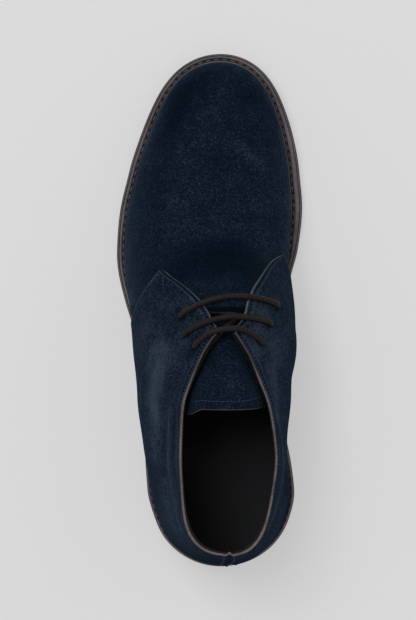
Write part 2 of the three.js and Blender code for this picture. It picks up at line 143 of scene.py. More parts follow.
# How far the walls lean out over their bottom edge, and how steeply they end at the top, in degrees.
WALL_FORM = table(
    "at lateral medial steep",
    (0, 1.5, 1.5, 80),
    (45, 4.2, 2.5, 82),
    (70, 11.5, 4, 78),
    (95, 16, 12.5, 66),
    (120, 14, 19.5, 48),
    (141, 11, 22, 22),
    (158, 8, 20, 0),
    (180, 5, 9, 0),
    (210, 6, 5, 0),
    (300, 5, 5, 0),
)
TONGUE = table(
    "at height half droop",
    (94, 128, 25, 24),
    (108, 123.4, 24.6, 26.5),
    (120, 116.4, 24.2, 27),
    (136, 107.2, 24, 22),
    (150, 99.6, 23, 17.5),
    (162, 92.8, 22, 10),
    (174, 85, 18, 7),
)
# The eyelets and the lace's hidden ends, as a station and a distance across.
EYELETS = {
    "lateral_low": (146.5, 19.7),
    "lateral_middle": (136, 17),
    "lateral_top": (129.3, 11.2),
    "medial_low": (152, -31.8),
    "medial_middle": (141.6, -27.9),
    "medial_top": (131.5, -23.2),
}
LACE_ENDS = {"lateral": (126, 20.5), "medial": (123, -27)}
BAR_BOW = {"low": 6.2, "middle": 5.2, "top": 7.5}  # how far each bar of the lace bows toward the toe
BAR_LIFT = 1.2
CROSSING_BOW = {"low": 7.5, "top": 5}  # the same for a crossing that ends at the low or the top pair
LACE_CLEARANCE = 0.8  # between the lace and the faces of the upper


# ---- The last, as in the boot's construction ----
def mix(a, b, share):
    return a + (b - a) * share


def even(count, low=0.0, high=1.0):
    return np.linspace(low, high, count)


def slowing(count, low, high):
    """From low to high in ever smaller steps."""
    return mix(low, high, 1 - (1 - even(count)) ** 2)


def hump(distance, width):
    """1 where the distance is nothing, falling softly to 0."""
    return np.exp(-((distance / width) ** 2))


def unit(vectors):
    return vectors / np.maximum(np.linalg.norm(vectors, axis=-1, keepdims=True), 1e-9)


def smooth(low, high, value):
    share = np.clip((value - low) / (high - low), 0, 1)
    return share * share * (3 - 2 * share)


def along(rows, column, at):
    """A smooth curve through one column of a table."""
    x, y = rows["at"], rows[column]
    i = np.clip(np.searchsorted(x, at) - 1, 0, len(x) - 2)
    before = np.maximum(np.arange(len(x)) - 1, 0)
    after = np.minimum(np.arange(len(x)) + 1, len(x) - 1)
    slope = (y[after] - y[before]) / (x[after] - x[before])
    step = x[i + 1] - x[i]
    u = np.clip((at - x[i]) / step, 0, 1)
    held = y[i] * (1 + 2 * u) * (1 - u) ** 2 + y[i + 1] * u * u * (3 - 2 * u)
    return held + slope[i] * step * u * (1 - u) ** 2 - slope[i + 1] * step * u * u * (1 - u)


def round_end(distance, reach):
    left = 1 - np.clip(distance / reach, 0, 1)
    return np.sqrt(1 - left * left)


def station_of(share):
    return LENGTH * (1 - np.cos(np.pi * np.asarray(share, float))) / 2


def share_of(at):
    return np.arccos(1 - 2 * np.asarray(at, float) / LENGTH) / np.pi


def column_of(side):
    return "lateral" if side > 0 else "medial"


def sole_edge(side, share):
    at = station_of(share)
    ends = round_end(at, HEEL_ROUND) * round_end(LENGTH - at, TOE_ROUND)
    return at, side * along(SOLE_PLAN, column_of(side), at) * ends


def outward(side, share):
    """The direction out of the sole's outline, in plan."""
    share = np.asarray(share, float)
    step = 1e-4
    before_at, before_across = sole_edge(side, np.clip(share - step, 0, 1))
    after_at, after_across = sole_edge(side, np.clip(share + step, 0, 1))
    run = after_at - before_at
    rise = after_across - before_across
    size = np.maximum(np.hypot(run, rise), 1e-12)
    at = np.where(share <= 0, -1, np.where(share >= 1, 1, -side * rise / size))
    across = np.where((share <= 0) | (share >= 1), 0, side * run / size)
    return at, across


def outline(side, share, inset):
    at, across = sole_edge(side, share)
    out_at, out_across = outward(side, share)
    return at - out_at * inset, across - out_across * inset


def underside(at):
    toe = np.clip((at - TREAD_END) / (LENGTH - TREAD_END), 0, 1)
    return HEEL_LIFT * (1 - smooth(SEAT_END, TREAD_START, at)) + TOE_SPRING * toe * toe


def welt_top(at):
    return underside(at) + OUTSOLE + GAP + WELT


def widest(side):
    return np.max(side * sole_edge(side, np.linspace(0, 1, 400))[1])


AXIS_X = (widest(-1) - widest(1)) / 2


def place(at, across, z):
    return np.stack(np.broadcast_arrays(across + AXIS_X, LENGTH / 2 - at, z), -1)


def welt_inset(side, share):
    return along(WELT_PLAN, column_of(side), station_of(share))


def wall_top(side, share, inset):
    """The upper's top edge: the collar and the facings, and forward of them the ridge over the toe."""
    station = station_of(share)
    tip = outline(side, 1.0, welt_inset(side, 1.0) + inset)[0]
    at = mix(COLLAR_FRONT, tip, (station - COLLAR_FRONT) / (LENGTH - COLLAR_FRONT))
    base = welt_top(at) + GAP
    slope = (along(RIDGE, "height", at + 1) - along(RIDGE, "height", at - 1)) / 2
    rise = along(RIDGE, "height", at) - inset * np.hypot(1, slope) - base
    closing = round_end(tip - at, TOE_BOX_ROUND)
    ridge = at, along(RIDGE, "across", at) * closing, base + rise * closing

    back = COLLAR_BACK + inset
    at = mix(back, COLLAR_FRONT, station / COLLAR_FRONT)
    half = along(COLLAR, column_of(side), at) * round_end(at - back, COLLAR_ROUND) ** COLLAR_SQUARENESS
    across = along(COLLAR, "across", at) + side * (half - np.minimum(inset, half / 2))
    lowered = inset * FACING_DROP * smooth(FACING_BACK, COLLAR_FRONT, at)
    collar = at, across, along(COLLAR, "height", at) - lowered
    return [np.where(station >= COLLAR_FRONT, a, b) for a, b in zip(ridge, collar)]


def rib(side, share, inset):
    """The four control points of the curve that climbs a wall from the welt to its top."""
    share = np.asarray(share, float)
    foot_at, foot_across = outline(side, share, welt_inset(side, share) + inset)
    foot_z = welt_top(foot_at) + GAP
    top_at, top_across, top_z = wall_top(side, share, inset)
    out_at, out_across = outward(side, share)
    station = station_of(share)
    height = top_z - foot_z
    lean = along(WALL_FORM, column_of(side), station) * height / LEAN_HEIGHT
    steep = np.radians(along(WALL_FORM, "steep", station))
    width = np.hypot(foot_across - top_across, FORWARD_SHARE * (foot_at - top_at)) + lean / 2
    reach = mix(WIDTH_SHARE * width, HEIGHT_SHARE * height, np.sin(steep))
    over = np.cos(steep) * reach
    crosswise = smooth(*CROSSWISE, station)
    return [
        (foot_at, foot_across, foot_z),
        (foot_at + out_at * lean, foot_across + out_across * lean, foot_z + 0.5 * height),
        (
            top_at + out_at * (1 - crosswise) * over,
            top_across + mix(out_across, side, crosswise) * over,
            top_z - np.sin(steep) * reach,
        ),
        (top_at, top_across, top_z),
    ]


def on_wall(side, share, row, inset=0.0):
    """Points of the upper, as stations, distances across and heights."""
    a, b, c, d = rib(side, share, inset)
    left = 1 - row
    weights = left**3, 3 * row * left**2, 3 * row**2 * left, row**3
    return [sum(w * p[k] for w, p in zip(weights, (a, b, c, d))) for k in range(3)]


def wall_point(side, share, row, inset=0.0):
    return place(*on_wall(side, share, row, inset))


def wall_normal(side, share, row, inset=0.0):
    step = 1e-3
    here = wall_point(side, share, row, inset)
    ahead = wall_point(side, share + step, row, inset) - here
    below = wall_point(side, share, row - step, inset) - here
    return unit(np.cross(ahead, below) * side)


def find_on_wall(side, at, across):
    """The share and row of the upper's outer face over a place in plan."""
    share = float(share_of(at))
    row = 0.8
    step = 1e-3
    for _ in range(30):
        here = np.array(on_wall(side, share, row)[:2])
        ahead = (np.array(on_wall(side, share + step, row)[:2]) - here) / step
        above = (np.array(on_wall(side, share, row + step)[:2]) - here) / step
        move = np.linalg.solve(np.stack([ahead, above], 1), np.array([at, across]) - here)
        share += float(np.clip(move[0], -0.05, 0.05))
        row = float(np.clip(row + np.clip(move[1], -0.1, 0.1), 0, 1))
    return share, row


# ---- Camera, light and floor, in metres ----
EYE = (-0.058, -0.004, 3.0)  # a little towards the inner side, over the middle of a pair
AIM = (0, 0, 0.05)
FOCAL_LENGTH = 296
LIGHTS = {
    "key": {"location": (0.5, -0.55, 2.4), "size": 1.0, "power": 31},
    "fill": {"location": (-1.4, -0.4, 1.8), "size": 1.6, "power": 4},
}
WORLD_LIGHT = 0.6
FLOOR_SIZE = 40
FLOOR_GREY = 0.24
FLOOR_GLOW = 0.43


def camera():
    """Looks straight down, with the toe up and the outer side of the boot at the left."""
    data = bpy.data.cameras.new("camera")
    data.lens = FOCAL_LENGTH
    data.sensor_width = 36
    data.clip_end = 20
    holder = bpy.data.objects.new("camera", data)
    bpy.context.scene.collection.objects.link(holder)
    holder.location = EYE
    toe_up = Vector((0, -1, 0))
    back = (Vector(EYE) - Vector(AIM)).normalized()
    right = toe_up.cross(back).normalized()
    up = back.cross(right)
    holder.rotation_mode = "QUATERNION"
    holder.rotation_quaternion = Matrix((right, up, back)).transposed().to_quaternion()
    bpy.context.scene.camera = holder


def area_light(name, location, size, power):
    data = bpy.data.lights.new(name, "AREA")
    data.energy = power
    data.size = size
    holder = bpy.data.objects.new(name, data)
    holder.location = location
    holder.rotation_mode = "QUATERNION"
    holder.rotation_quaternion = (Vector(AIM) - Vector(location)).to_track_quat("-Z", "Y")
    bpy.context.scene.collection.objects.link(holder)


def studio():
    world = bpy.data.worlds.new("studio")
    bpy.context.scene.world = world
    world.use_nodes = True
    background = world.node_tree.nodes["Background"]
    background.inputs["Color"].default_value = (1, 1, 1, 1)
    background.inputs["Strength"].default_value = WORLD_LIGHT
    for name, light in LIGHTS.items():
        area_light(name, **light)
    bpy.ops.mesh.primitive_plane_add(size=FLOOR_SIZE)
    floor = bpy.context.object
    floor.name = "floor"
    paint = bpy.data.materials.new("floor")
    paint.use_nodes = True
    shader = paint.node_tree.nodes["Principled BSDF"]
    shader.inputs["Base Color"].default_value = (FLOOR_GREY, FLOOR_GREY, FLOOR_GREY, 1)
    shader.inputs["Roughness"].default_value = 0.9
    shader.inputs["Emission Color"].default_value = (1, 1, 1, 1)
    shader.inputs["Emission Strength"].default_value = FLOOR_GLOW
    floor.data.materials.append(paint)
    bpy.context.scene.view_settings.view_transform = "Standard"


camera()
studio()


# ---- Lines and folds placed on the upper, as stations and distances across in plan ----
FACING_EDGE = {
    1: [
        (136, 0.7),
        (142.5, 2.6),
        (148.7, 5.6),
        (157.3, 12.1),
        (164.6, 20.8),
        (168.8, 26.6),
    ],
    -1: [
        (136.5, -10.1),
        (143, -12.9),
        (149.6, -15.8),
        (154.5, -16.9),
        (157, -18.2),
        (161.8, -19.7),
        (171.9, -25.8),
        (178, -30),
        (180.6, -33),
    ],
}
TIP = {1: (172.4, 31.6), -1: (182, -36.8)}
# Below the tip a quarter's edge runs down and back to the welt: stations and shares of the wall's climb.
LOWER_EDGE = {
    1: [
        (173.3, 0.6),
        (169, 0.57),
        (163, 0.505),
        (156, 0.42),
        (149, 0.335),
        (143.5, 0.24),
        (140, 0.14),
        (137.5, 0),
    ],
    -1: [
        (182.5, 0.37),
        (177.5, 0.32),
        (172, 0.27),
        (164, 0.2),
        (156, 0.11),
        (150, 0),
    ],
}
TIP_ROUND = 5.0  # how far back from a quarter's tip it is still rounding off


def from_line(points, line):
    """Distance of each point from a broken line."""
    nearest = np.full(points.shape[:-1], 1e9)
    for start, end in zip(line[:-1], line[1:]):
        run = end - start
        share = np.clip(((points - start) @ run) / (run @ run), 0, 1)
        gap = np.linalg.norm(points - start - share[..., None] * run, axis=-1)
        nearest = np.minimum(nearest, gap)
    return nearest


def placed(side, plan_points):
    """A smooth line on the upper through places given in plan."""
    found = np.array([find_on_wall(side, at, across) for at, across in plan_points])
    count = 10 * (len(found) - 1) + 1
    u = np.linspace(0, len(found) - 1, count)
    shares = np.interp(u, np.arange(len(found)), found[:, 0])
    rows = np.interp(u, np.arange(len(found)), found[:, 1])
    return wall_point(side, shares, rows)


def mark(side, width, amount, *line):
    """A soft mark on the upper along a line in plan."""
    return {"points": placed(side, line), "width": width, "amount": amount}


def marked(points, marks):
    """What the marks add up to at each point."""
    return sum(m["amount"] * hump(from_line(points, m["points"]), m["width"]) for m in marks)


# Each fold is a soft trough or ridge: its side, how wide it is, how far it stands out and its line in plan.
FOLDS = [
    # the collar's rolled padding and the hollow outside it
    mark(1, 5, 0.9, (52, 25.6), (75, 26.5), (92, 25.6)),
    mark(1, 4.5, -0.9, (26, 22), (40, 29), (60, 31.5), (80, 31)),
    mark(-1, 4.5, -0.9, (24, -30), (38, -36), (58, -39.5), (75, -40)),
    mark(1, 2.2, 0.5, (90, 26.5), (62, 28.5), (40, 24.5), (27, 22.5)),
    # the bend across the instep in front of the lacing
    mark(1, 9, -0.8, (186, 4), (187, 16), (181, 30)),
    mark(-1, 9, -0.8, (186, -4), (190, -16), (190, -30)),
    # light flex creases where the toes bend
    mark(1, 7, -0.55, (216, 6), (214, 22), (208, 38)),
    mark(-1, 7, -0.55, (216, -4), (217, -18), (214, -34)),
    mark(1, 6, 0.5, (203, 20), (199, 34), (194, 44)),
    # slack in the sides below the lacing
    mark(1, 6, -0.8, (128, 33), (118, 40), (104, 43)),
    mark(-1, 6, -0.7, (140, -36), (126, -41), (110, -43)),
    mark(1, 7, 0.7, (96, 33), (84, 38), (70, 40)),
    # a crease from the medial facing's front corner to the side
    mark(-1, 2.5, -0.5, (156, -24), (151, -31), (145, -37)),
    mark(-1, 3, 0.4, (159.5, -26), (154.5, -33)),
    # the stiff counter inside the heel ends in a faint upright line
    mark(1, 5, -0.5, (58, 34), (61, 38.5)),
    mark(-1, 5, -0.5, (60, -41), (64, -43.5)),
]

# Patches lighter (above 0) or darker: nap lying the other way, and the painted light and shade named below.
NAP_AND_PAINTED_LIGHT = [
    # brushed nap along the outer side, lighter still with painted light on the side facing the lamp
    mark(1, 7, 1.1, (126, 32), (106, 36), (94, 37)),
    mark(1, 6, 0.6, (88, 35), (66, 37)),
    mark(1, 6, 0.4, (50, 32), (36, 29), (26, 24)),
    mark(1, 6, 0.35, (142, 40), (128, 43)),
    mark(1, 3.5, 0.45, (130, 36), (118, 40)),
    mark(1, 5, 0.35, (140, 14), (128, 22), (118, 28)),
    # and along the inner side
    mark(-1, 9, 0.35, (142, -27), (120, -32)),
    mark(-1, 5, 0.45, (114, -30), (92, -34)),
    mark(-1, 6, 0.3, (80, -42), (60, -43), (44, -40)),
    mark(-1, 4, 0.4, (148, -24), (136, -22), (126, -20)),
    # painted highlight on the crest of the collar's roll, and painted shade in the dark line inside it
    mark(-1, 2.2, 0.6, (90, -33.5), (62, -37.5), (40, -34), (27, -29)),
    mark(1, 3, 0.6, (90, 26.5), (62, 28.5), (40, 24.5), (27, 22.5)),
    mark(1, 1.3, -0.5, (90, 24), (62, 25), (40, 21.8), (27, 20)),
    # darker round the heel's counter
    mark(1, 12, -0.5, (6, 2), (9, 18), (17, 31), (34, 37), (52, 39)),
    mark(-1, 12, -0.55, (6, -8), (9, -24), (18, -36), (34, -39), (52, -40)),
    # faint light patches on the vamp
    mark(1, 17, 0.1, (258, 8), (240, 14), (212, 22)),
    mark(-1, 14, 0.08, (254, -22), (226, -30)),
    mark(-1, 4, 0.25, (246, -10), (240, -16), (236, -22)),
    mark(1, 12, 0.1, (196, 14), (190, 30)),
    mark(-1, 12, 0.1, (204, -10), (196, -24)),
    # and dark ones, over the toe and in front of the lacing
    mark(1, 7, -0.3, (284, 10), (274, 30)),
    mark(1, 8, -0.4, (272, 22), (250, 32)),
    mark(-1, 8, -0.3, (276, -14), (262, -32)),
    mark(1, 12, -0.5, (180, 6), (176, 18)),
    mark(-1, 12, -0.5, (180, -6), (176, -16)),
]

# The back seam: how far across it lies, how deep into the heel it still shows, its groove and the ridges of
# turned suede beside it.
BACK_SEAM = -6.9
SEAM_ZONE = (30, 20)
SEAM_GROOVE = {"width": 1.1, "depth": 0.9}
SEAM_RIDGE = {"off": 2.8, "width": 1.4, "height": 0.45}

# Round each punched hole the face is pulled in, and painted shade darkens the dent.
HOLE_REACH = 2.1
HOLE_DENT = 0.7
HOLE_SHADE = 2.2


def hole_points():
    """Where the eyelets are punched in the face."""
    for name, (at, across) in EYELETS.items():
        side = 1 if name.startswith("lateral") else -1
        yield wall_point(side, *find_on_wall(side, at, across))


HOLES = list(hole_points())


def near_hole(points):
    """1 at an eyelet, falling to 0 a few millimetres away."""
    gaps = [np.linalg.norm(points - hole, axis=-1) for hole in HOLES]
    return hump(np.min(gaps, axis=0), HOLE_REACH)


def relief(points):
    """How far the folds, the holes and the back seam move the upper's face in or out."""
    zone = [LENGTH / 2 - depth for depth in SEAM_ZONE]
    from_seam = np.abs(points[..., 0] - AXIS_X - BACK_SEAM)
    ridge = SEAM_RIDGE["height"] * hump(from_seam - SEAM_RIDGE["off"], SEAM_RIDGE["width"])
    groove = SEAM_GROOVE["depth"] * hump(from_seam, SEAM_GROOVE["width"])
    seam = smooth(*zone, points[..., 1]) * (ridge - groove)
    return marked(points, FOLDS) - HOLE_DENT * near_hole(points) + seam


def nap_and_painted_light(points):
    """How much lighter the suede is than its middle tone, from nap, painted light and painted shade."""
    return marked(points, NAP_AND_PAINTED_LIGHT) - HOLE_SHADE * near_hole(points)


def skin_normal(side, share, row):
    """The way out of the upper, the same for both sides along the ridge where they meet."""
    normal = wall_normal(side, share, row)
    share, row = np.broadcast_arrays(share, row)
    met = np.ones_like(row)
    both = unit(wall_normal(side, share, met) + wall_normal(-side, share, met))
    blend = smooth(0.88, 1, row) * (station_of(share) >= COLLAR_FRONT)
    normal = normal * (1 - blend[..., None]) + both * blend[..., None]
    size = np.linalg.norm(normal, axis=-1, keepdims=True)
    return np.where(size > 1e-6, normal / np.maximum(size, 1e-9), (0, -1, 0))


def skin(side, share, row, lift=0.0):
    """A point on the upper's visible face, with its folds, "lift" above it."""
    share, row = np.broadcast_arrays(np.asarray(share, float), np.asarray(row, float))
    points = wall_point(side, share, row)
    lift = np.broadcast_to(lift, share.shape)
    return points + skin_normal(side, share, row) * (relief(points) + lift)[..., None]


# ---- Meshes ----
WELDS_PER_MM = 500


def welded(points):
    """Which points are kept when those that touch are joined, and which of them each point became."""
    cells = np.round(points * WELDS_PER_MM).astype(np.int64)
    _, kept, became = np.unique(cells, axis=0, return_index=True, return_inverse=True)
    return kept, became.reshape(-1)


class Sheets:
    """Gathers sheets of points into one mesh. Sheets of one group are welded where they meet."""

    def __init__(self):
        self.groups = {}

    def add(self, points, group="face", paint=0, flip=False, shade=None, route=None):
        """Adds a grid of points. "paint" numbers its material; "route" maps it along and round a cord."""
        rows, columns = points.shape[:2]
        count = rows * columns
        sheets = self.groups.setdefault(group, [])
        first = sum(len(sheet["points"]) for sheet in sheets)
        index = first + np.arange(count).reshape(rows, columns)
        corners = [index[:-1, :-1], index[1:, :-1], index[1:, 1:], index[:-1, 1:]]
        quads = np.stack(corners, -1).reshape(-1, 4)
        sheets.append(
            {
                "points": points.reshape(-1, 3),
                "quads": quads[:, ::-1] if flip else quads,
                "paint": np.full(len(quads), paint),
                "shade": np.zeros(count) if shade is None else shade.reshape(-1),
                "route": np.zeros((count, 2)) if route is None else route.reshape(-1, 2),
            }
        )

    def make(self, name, materials, weld=True):
        gathered = {"points": [], "shade": [], "route": []}
        faces = []
        paints = []
        start = 0
        for sheets in self.groups.values():
            whole = {key: np.concatenate([sheet[key] for sheet in sheets]) for key in sheets[0]}
            kept = became = np.arange(len(whole["points"]))
            if weld:
                kept, became = welded(whole["points"])
            for key, parts in gathered.items():
                parts.append(whole[key][kept])
            for quad, paint in zip(became[whole["quads"]].tolist(), whole["paint"].tolist()):
                ring = [corner for k, corner in enumerate(quad) if corner != quad[k - 1]]
                if len(ring) >= 3 and len(set(ring)) == len(ring):
                    faces.append([corner + start for corner in ring])
                    paints.append(paint)
            start += len(kept)
        points, shade, route = (np.concatenate(parts) for parts in gathered.values())
        mesh = bpy.data.meshes.new(name)
        mesh.from_pydata((points * MM).tolist(), [], faces)
        mesh.polygons.foreach_set("material_index", paints)
        mesh.polygons.foreach_set("use_smooth", [True] * len(faces))
        mesh.attributes.new("shade", "FLOAT", "POINT").data.foreach_set("value", shade)
        corners = np.zeros(len(mesh.loops), int)
        mesh.loops.foreach_get("vertex_index", corners)
        mesh.uv_layers.new(name="route").data.foreach_set("uv", route[corners].reshape(-1))
        for material in materials:
            mesh.materials.append(material)
        mesh.validate()
        holder = bpy.data.objects.new(name, mesh)
        bpy.context.scene.collection.objects.link(holder)
        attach(holder, "root")
        return holder


# ---- Materials ----
def new_material(name, base, roughness, shine=0.5):
    material = bpy.data.materials.new(name)
    material.use_nodes = True
    shader = material.node_tree.nodes["Principled BSDF"]
    shader.inputs["Base Color"].default_value = (*base, 1)
    shader.inputs["Roughness"].default_value = roughness
    shader.inputs["Specular IOR Level"].default_value = shine
    return material, material.node_tree, shader


def noise(tree, scale, detail=2.0, roughness=0.5, stretch=(1, 1, 1)):
    where = tree.nodes.new("ShaderNodeTexCoord")
    mapping = tree.nodes.new("ShaderNodeMapping")
    mapping.inputs["Scale"].default_value = stretch
    texture = tree.nodes.new("ShaderNodeTexNoise")
    texture.inputs["Scale"].default_value = scale
    texture.inputs["Detail"].default_value = detail
    texture.inputs["Roughness"].default_value = roughness
    tree.links.new(where.outputs["Object"], mapping.inputs["Vector"])
    tree.links.new(mapping.outputs["Vector"], texture.inputs["Vector"])
    return texture.outputs["Fac"]


def maths(tree, operation, *values):
    node = tree.nodes.new("ShaderNodeMath")
    node.operation = operation
    for socket, value in zip(node.inputs, values):
        if isinstance(value, (int, float)):
            socket.default_value = value
        else:
            tree.links.new(value, socket)
    return node.outputs[0]


def weighed(tree, *parts, base=0.0):
    """The base and each part times its weight, added up."""
    total = base
    for part, weight in parts:
        total = maths(tree, "ADD", total, maths(tree, "MULTIPLY", part, weight))
    return total


def colour(tree, shader, factor, *stops):
    """Colours a shader from stop to stop as the factor grows."""
    node = tree.nodes.new("ShaderNodeValToRGB")
    points = node.color_ramp.elements
    while len(points) < len(stops):
        points.new(0.5)
    for point, (position, tone) in zip(points, stops):
        point.position = position
        point.color = (*tone, 1)
    tree.links.new(factor, node.inputs["Fac"])
    tree.links.new(node.outputs["Color"], shader.inputs["Base Color"])


def bump(tree, shader, height, strength, distance):
    node = tree.nodes.new("ShaderNodeBump")
    node.inputs["Strength"].default_value = strength
    node.inputs["Distance"].default_value = distance
    tree.links.new(height, node.inputs["Height"])
    tree.links.new(node.outputs["Normal"], shader.inputs["Normal"])


def shade_of(tree):
    """The shade that the mesh's points carry."""
    node = tree.nodes.new("ShaderNodeAttribute")
    node.attribute_name = "shade"
    return node.outputs["Fac"]


def suede():
    """Matt nap: clouds, brushed streaks and pile, lighter where a point's shade is more."""
    dark = (0.0016, 0.0038, 0.008)
    middle = (0.004, 0.0083, 0.0158)
    light = (0.03, 0.043, 0.064)
    material, tree, shader = new_material("suede", middle, 0.95, 0.0)
    shader.inputs["Sheen Weight"].default_value = 0.05
    shader.inputs["Sheen Roughness"].default_value = 0.45
    shader.inputs["Sheen Tint"].default_value = (0.35, 0.55, 0.85, 1)
    clouds = noise(tree, 55, 4, 0.65)
    brushed = noise(tree, 210, 3, 0.65, (1, 0.6, 1))
    pile = noise(tree, 820, 2, 0.7)
    fibres = noise(tree, 2400, 2, 0.7)
    grain = weighed(tree, (clouds, 0.24), (brushed, 0.2), (pile, 0.75))
    uneven = weighed(tree, (brushed, 0.24), base=0.16)
    lit = weighed(tree, (shade_of(tree), uneven), base=grain)
    colour(tree, shader, lit, (0.4, dark), (0.62, middle), (1.0, light))
    bump(tree, shader, weighed(tree, (fibres, 0.6), base=pile), 0.6, 0.0008)
    return material


def leather(name, base, light, roughness=0.55, scale=900, depth=0.0002, shine=0.3):
    material, tree, shader = new_material(name, base, roughness, shine)
    pores = noise(tree, scale, 3, 0.6)
    wear_and_sheen = noise(tree, 60, 3, 0.6)
    colour(tree, shader, weighed(tree, (pores, 0.45), (wear_and_sheen, 0.55)), (0.35, base), (0.68, light))
    dull = tree.nodes.new("ShaderNodeMapRange")
    dull.inputs["To Min"].default_value = roughness - 0.1
    dull.inputs["To Max"].default_value = roughness + 0.15
    tree.links.new(wear_and_sheen, dull.inputs["Value"])
    tree.links.new(dull.outputs["Result"], shader.inputs["Roughness"])
    bump(tree, shader, pores, 0.4, depth)
    return material


def lace_cord():
    """A round cord of strands that cross, drawn from its route map: radians along it and for each turn."""
    along_cord = 2.6
    round_cord = 25.13
    dark = (0.0022, 0.0016, 0.0018)
    light = (0.021, 0.0142, 0.0155)
    material, tree, shader = new_material("lace_cord", (0.02, 0.014, 0.014), 0.5, 0.12)
    route = tree.nodes.new("ShaderNodeUVMap")
    route.uv_map = "route"
    split = tree.nodes.new("ShaderNodeSeparateXYZ")
    tree.links.new(route.outputs["UV"], split.inputs["Vector"])
    strands = []
    for turn in (1, -1):
        run = split.outputs["X"], along_cord
        phase = weighed(tree, run, (split.outputs["Y"], turn * round_cord))
        strands.append(maths(tree, "SINE", phase))
    weave = weighed(tree, (maths(tree, "MULTIPLY", *strands), 0.5), base=0.5)
    mixed = weighed(tree, (weave, 0.45), (noise(tree, 1250, 2), 0.55))
    colour(tree, shader, mixed, (0.25, dark), (0.8, light))
    bump(tree, shader, mixed, 0.9, 0.0007)
    return material


def thread(name, base, light):
    material, tree, shader = new_material(name, base, 0.7, 0.15)
    twist = noise(tree, 1500, 2, 0.5)
    colour(tree, shader, twist, (0.3, base), (0.7, light))
    bump(tree, shader, twist, 0.4, 0.0002)
    return material


def rubber(name, base, light):
    material, tree, shader = new_material(name, base, 0.6)
    specks = noise(tree, 500, 3, 0.7)
    dust = noise(tree, 45, 3, 0.6)
    colour(tree, shader, weighed(tree, (specks, 0.4), (dust, 0.6)), (0.4, base), (0.72, light))
    bump(tree, shader, specks, 0.3, 0.0002)
    return material


SUEDE = suede()
RAW_EDGE = leather("raw_edge", (0.045, 0.037, 0.034), (0.15, 0.125, 0.115), 0.9, 1100, 0.0005, 0.05)
# dark lining and sock leather, darkened further as painted shade inside the boot
LINING = leather("lining", (0.0045, 0.0037, 0.004), (0.015, 0.0125, 0.013), 0.7, shine=0.1)
SOCK = leather("sock", (0.0038, 0.0042, 0.005), (0.0095, 0.0105, 0.0125), 0.6, shine=0.1)
WELT_BAND = leather("welt_band", (0.042, 0.034, 0.038), (0.125, 0.102, 0.112), 0.45, shine=0.35)
# near-black welt groove: the dark of the stitch holes, and painted shade in the groove and the line along the
# bead
WELT_GROOVE = leather("welt_groove", (0.006, 0.0045, 0.004), (0.014, 0.01, 0.009), 0.7)
SOLE = rubber("sole_rubber", (0.009, 0.007, 0.007), (0.024, 0.02, 0.02))
STACK = leather("heel_stack", (0.012, 0.009, 0.008), (0.03, 0.024, 0.021), 0.55)
LACE_CORD = lace_cord()
BLUE_THREAD = thread("blue_thread", (0.01, 0.021, 0.038), (0.028, 0.052, 0.085))
WELT_THREAD = thread("welt_thread", (0.045, 0.036, 0.037), (0.1, 0.082, 0.084))


# ---- The upper ----
TUCK = 0.3  # how far a panel's bottom edge carries on down behind the welt
CLIMB = (100, 128)  # between these stations a quarter climbs onto the vamp
NARROW_SHARE = 0.86  # how much of the way from corner to tip a quarter narrows steadily
WING_START = 118  # the vamp runs back under the quarters as far as this
TOE_SHARE = 0.93  # the vamp's grid is finer forward of this
FRONT = float(share_of(VAMP_EDGE))  # the share at which the vamp begins between the facings

# Along a quarter's upper edge the stitches pull in a furrow with a soft roll behind it. Painted highlights
# light the edge, the roll and the lower edge, and painted shade darkens the furrow.
PANEL_SHADE = 0.25
FURROW = {"width": 0.75, "depth": 0.4, "shade": 1.3}
ROLL = {"off": EDGE_TO_STITCH + 2, "width": 1.1, "height": 0.25}
EDGE_HIGHLIGHT = {"width": 1.1, "shade": 1.0}
ROLL_HIGHLIGHT = {"off": 4, "width": 1.2, "shade": 0.6, "share_behind": 0.6}
FOOT_HIGHLIGHT = {"width": 1.2, "shade": 1.2}

# The cut edge of a quarter: its rounded corner, and how far it slopes out where it meets the vamp.
CORNER_OUT = 0.22
CORNER_DOWN = 0.12
CUT_SLOPE = 0.55

# The rim of the collar: suede turned over, a raw band that narrows toward the facings, then the lining.
RIM_TURN = 0.35
RIM_BAND = (1.45, 0.85)
RIM_NARROWS = (92, 128)
RIM_CREST = 0.2
RIM_SEAM = 0.1
LINING_DROP = 1.5


def edge_curve(side, plan_points, ends=()):
    """A boundary of a quarter, as the row that it has at each share."""
    found = [find_on_wall(side, at, across) for at, across in plan_points] + list(ends)
    found = np.array(sorted(found))
    return {"at": found[:, 0], "row": found[:, 1]}


def quarter_foot(side):
    """A quarter's lower edge, as the row that it has at each share."""
    places = sorted(LOWER_EDGE[side])
    stations, rows = np.array(places).T
    return {"at": share_of(stations), "row": rows}


def quarter_bounds(side):
    """The rows between which a quarter lies, as a function, and the shares of its tip and facing's corner."""
    tip_share, tip_row = find_on_wall(side, *TIP[side])
    facing = edge_curve(side, FACING_EDGE[side], [(tip_share, tip_row + 0.03)])
    lower = quarter_foot(side)
    corner = facing["at"][0]

    def bounds(share):
        high = np.where(share <= corner, 1.0, np.minimum(along(facing, "row", share), 1.0))
        low = np.where(share <= lower["at"][0], 0.0, np.maximum(along(lower, "row", share), 0.0))
        left = (station_of(tip_share) - station_of(share)) / TIP_ROUND
        closing = round_end(left, 1.0)
        middle = (high + low) / 2
        return mix(middle, low, closing), mix(middle, high, closing)

    return bounds, tip_share, corner


def overlay(share):
    """How far a quarter stands off the last."""
    return OVERLAY * smooth(*CLIMB, station_of(share))


def grid(shares, rows):
    """Every share along the sole with its rows up the wall."""
    return np.broadcast_arrays(shares[:, None], rows)


def add_foot(sheets, side, face):
    """The strip that carries a panel's bottom edge down behind the welt."""
    tucked = face[:, :1] - np.array([0, 0, TUCK])
    sheets.add(np.concatenate([tucked, face[:, :1]], 1), "foot", 0, side < 0)


